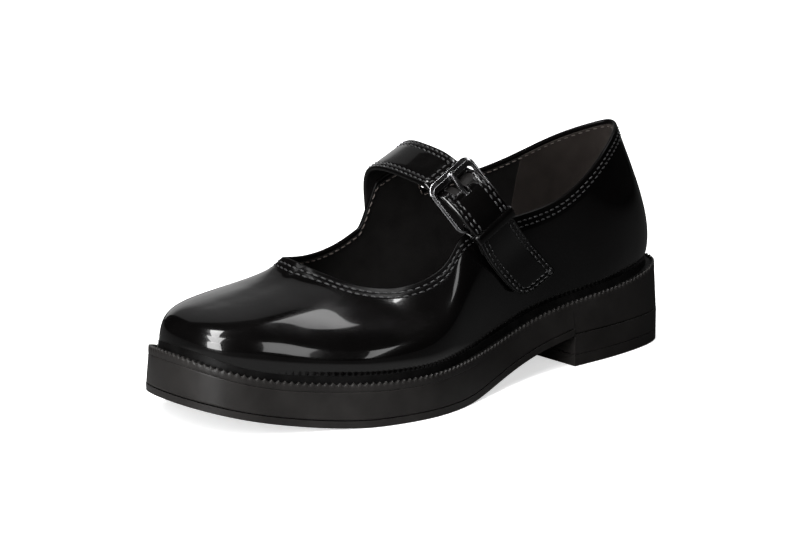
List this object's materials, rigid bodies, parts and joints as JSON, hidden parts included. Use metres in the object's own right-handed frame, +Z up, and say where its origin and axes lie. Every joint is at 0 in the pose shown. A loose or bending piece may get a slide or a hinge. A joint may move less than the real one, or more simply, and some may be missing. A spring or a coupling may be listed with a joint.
{
  "type": "mary jane shoe with platform sole",
  "caption": "Left Mary Jane shoe in black patent leather with a buckled strap, on a rubber platform sole with a block heel.",
  "frame": {"origin": "middle of the shoe's bounding box, on the floor it stands on", "axes": "-Y towards the toe, +X towards the outer side (the wearer's left), +Z up"},
  "size_m": [0.1009, 0.2681, 0.1025],
  "materials": {
    "sole_rubber": "satin",
    "patent": "high gloss",
    "footbed": "matt",
    "buckle_metal": "polished dark nickel"
  },
  "bodies": {
    "root": {"heel_lift": "sole_rubber", "heel": "sole_rubber", "outsole": "sole_rubber", "midsole": "sole_rubber", "welt": "sole_rubber", "insole": "footbed", "upper": "patent", "strap": "patent", "keeper": "patent", "buckle_tab": "patent", "buckle_frame": "buckle_metal", "buckle_prong": "buckle_metal"}
  },
  "joints": []
}
